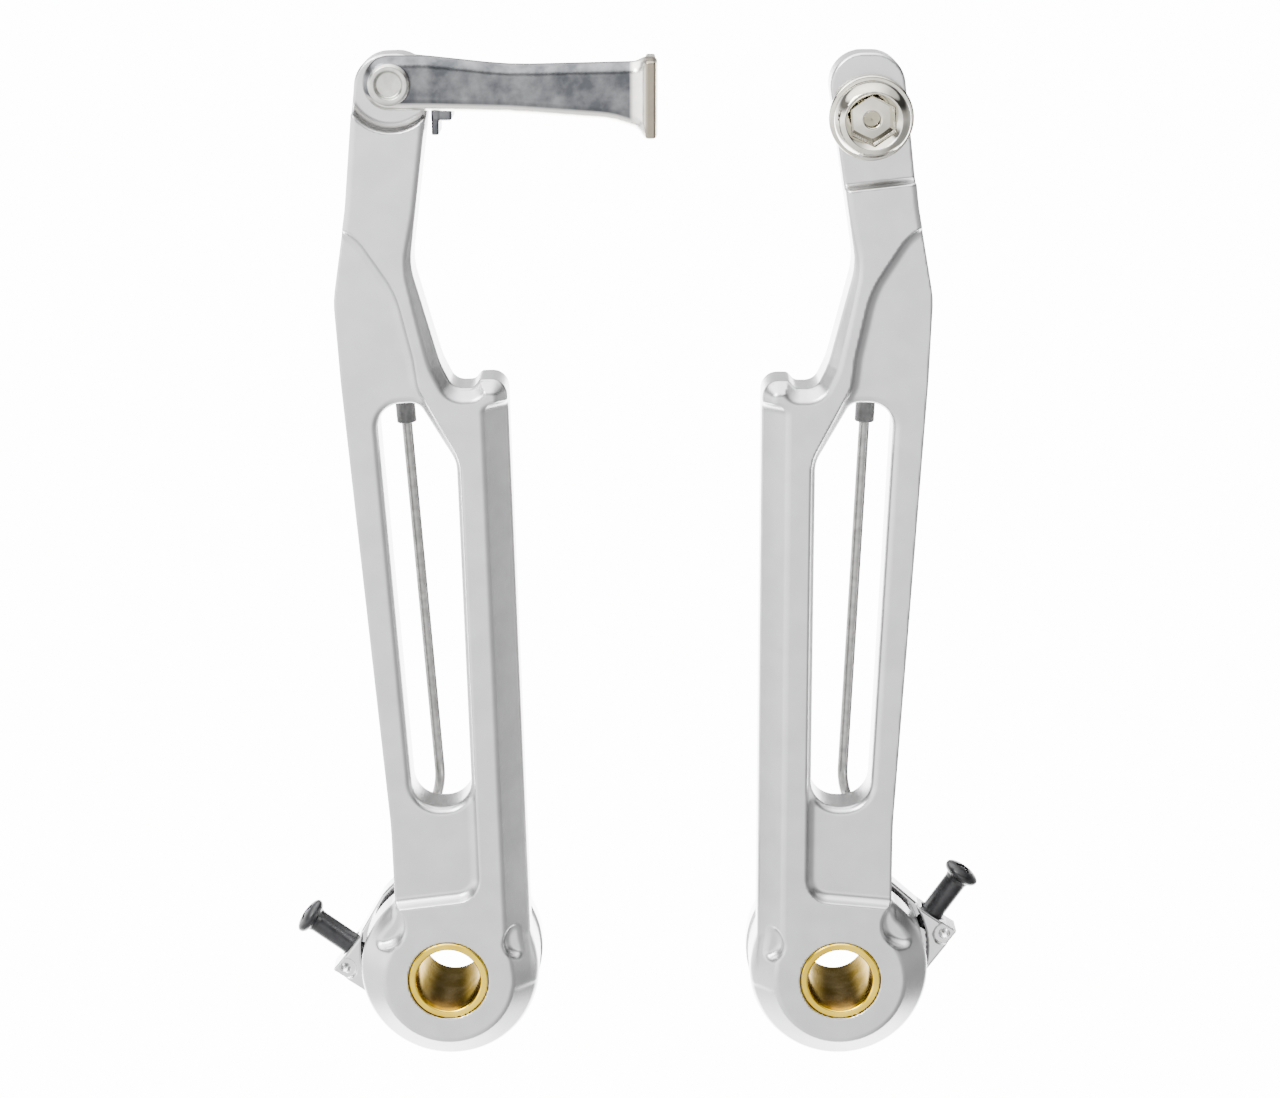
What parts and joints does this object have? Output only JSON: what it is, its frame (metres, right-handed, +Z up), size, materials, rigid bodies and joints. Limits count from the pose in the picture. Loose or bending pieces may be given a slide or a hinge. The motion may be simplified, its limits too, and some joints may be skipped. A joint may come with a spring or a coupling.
{
  "type": "linear-pull bicycle brake arms",
  "caption": "Pair of milled aluminium linear-pull brake arms with long pad slots, brass pivot bushes, return springs, tension screws, noodle link and cable clamp bolt.",
  "frame": {"origin": "midway between the two pivot axes, on the plane where the spring carriers meet the frame's studs", "axes": "+Z up along the arms, front faces towards -Y, pivot axes along Y, link arm on the -X side"},
  "size_m": [0.0874, 0.0219, 0.1263],
  "materials": {
    "milled_aluminium": "satin silver, milled",
    "cast_alloy": "polished cast alloy",
    "brass": "turned",
    "steel": "plain",
    "spring_steel": "drawn wire",
    "sleeve": "matte nylon",
    "black_steel": "black oxide",
    "nickel_steel": "mottled nickel plate",
    "chrome": "polished chrome plate"
  },
  "bodies": {
    "frame_side": {"left_spring_carrier": "cast_alloy", "left_spring_pin": "steel", "left_thrust_washer": "steel", "right_spring_carrier": "cast_alloy", "right_spring_pin": "steel", "right_thrust_washer": "steel"},
    "left_arm": {"left_arm": "milled_aluminium", "left_pivot_bush": "brass", "left_retaining_ring": "steel", "left_return_spring": "spring_steel", "left_spring_sleeve": "sleeve", "left_spring_peg": "steel", "link_rivet": "nickel_steel"},
    "right_arm": {"right_arm": "milled_aluminium", "right_pivot_bush": "brass", "right_retaining_ring": "steel", "right_return_spring": "spring_steel", "right_spring_sleeve": "sleeve", "right_spring_peg": "steel"},
    "noodle_link": {"noodle_link": "nickel_steel"},
    "left_tension_screw": {"left_tension_screw": "black_steel"},
    "right_tension_screw": {"right_tension_screw": "black_steel"},
    "cable_clamp": {"cable_bolt": "chrome", "cable_washer": "chrome"}
  },
  "joints": [
    {"name": "left_arm_pivot", "type": "hinge", "parent": "frame_side", "child": "left_arm", "pos_m": [-0.0245, 0, 0], "axis": [0, -1, 0], "range_deg": [-4, 25], "stiffness_Nm_per_rad": 0.8},
    {"name": "right_arm_pivot", "type": "hinge", "parent": "frame_side", "child": "right_arm", "pos_m": [0.0245, 0, 0], "axis": [0, 1, 0], "range_deg": [-4, 25], "stiffness_Nm_per_rad": 0.8},
    {"name": "link_pivot", "type": "hinge", "parent": "left_arm", "child": "noodle_link", "pos_m": [-0.02981, -0.0102, 0.11149], "axis": [0, -1, 0], "range_deg": [0, 100]},
    {"name": "left_screw_travel", "type": "slide", "parent": "frame_side", "child": "left_tension_screw", "axis": [-0.809, 0, 0.5878], "range_m": [0, 0.0012]},
    {"name": "right_screw_travel", "type": "slide", "parent": "frame_side", "child": "right_tension_screw", "axis": [0.5707, 0, 0.8211], "range_m": [0, 0.0012]},
    {"name": "cable_clamp_travel", "type": "slide", "parent": "right_arm", "child": "cable_clamp", "axis": [0, -1, 0], "range_m": [0, 0.0025]}
  ]
}
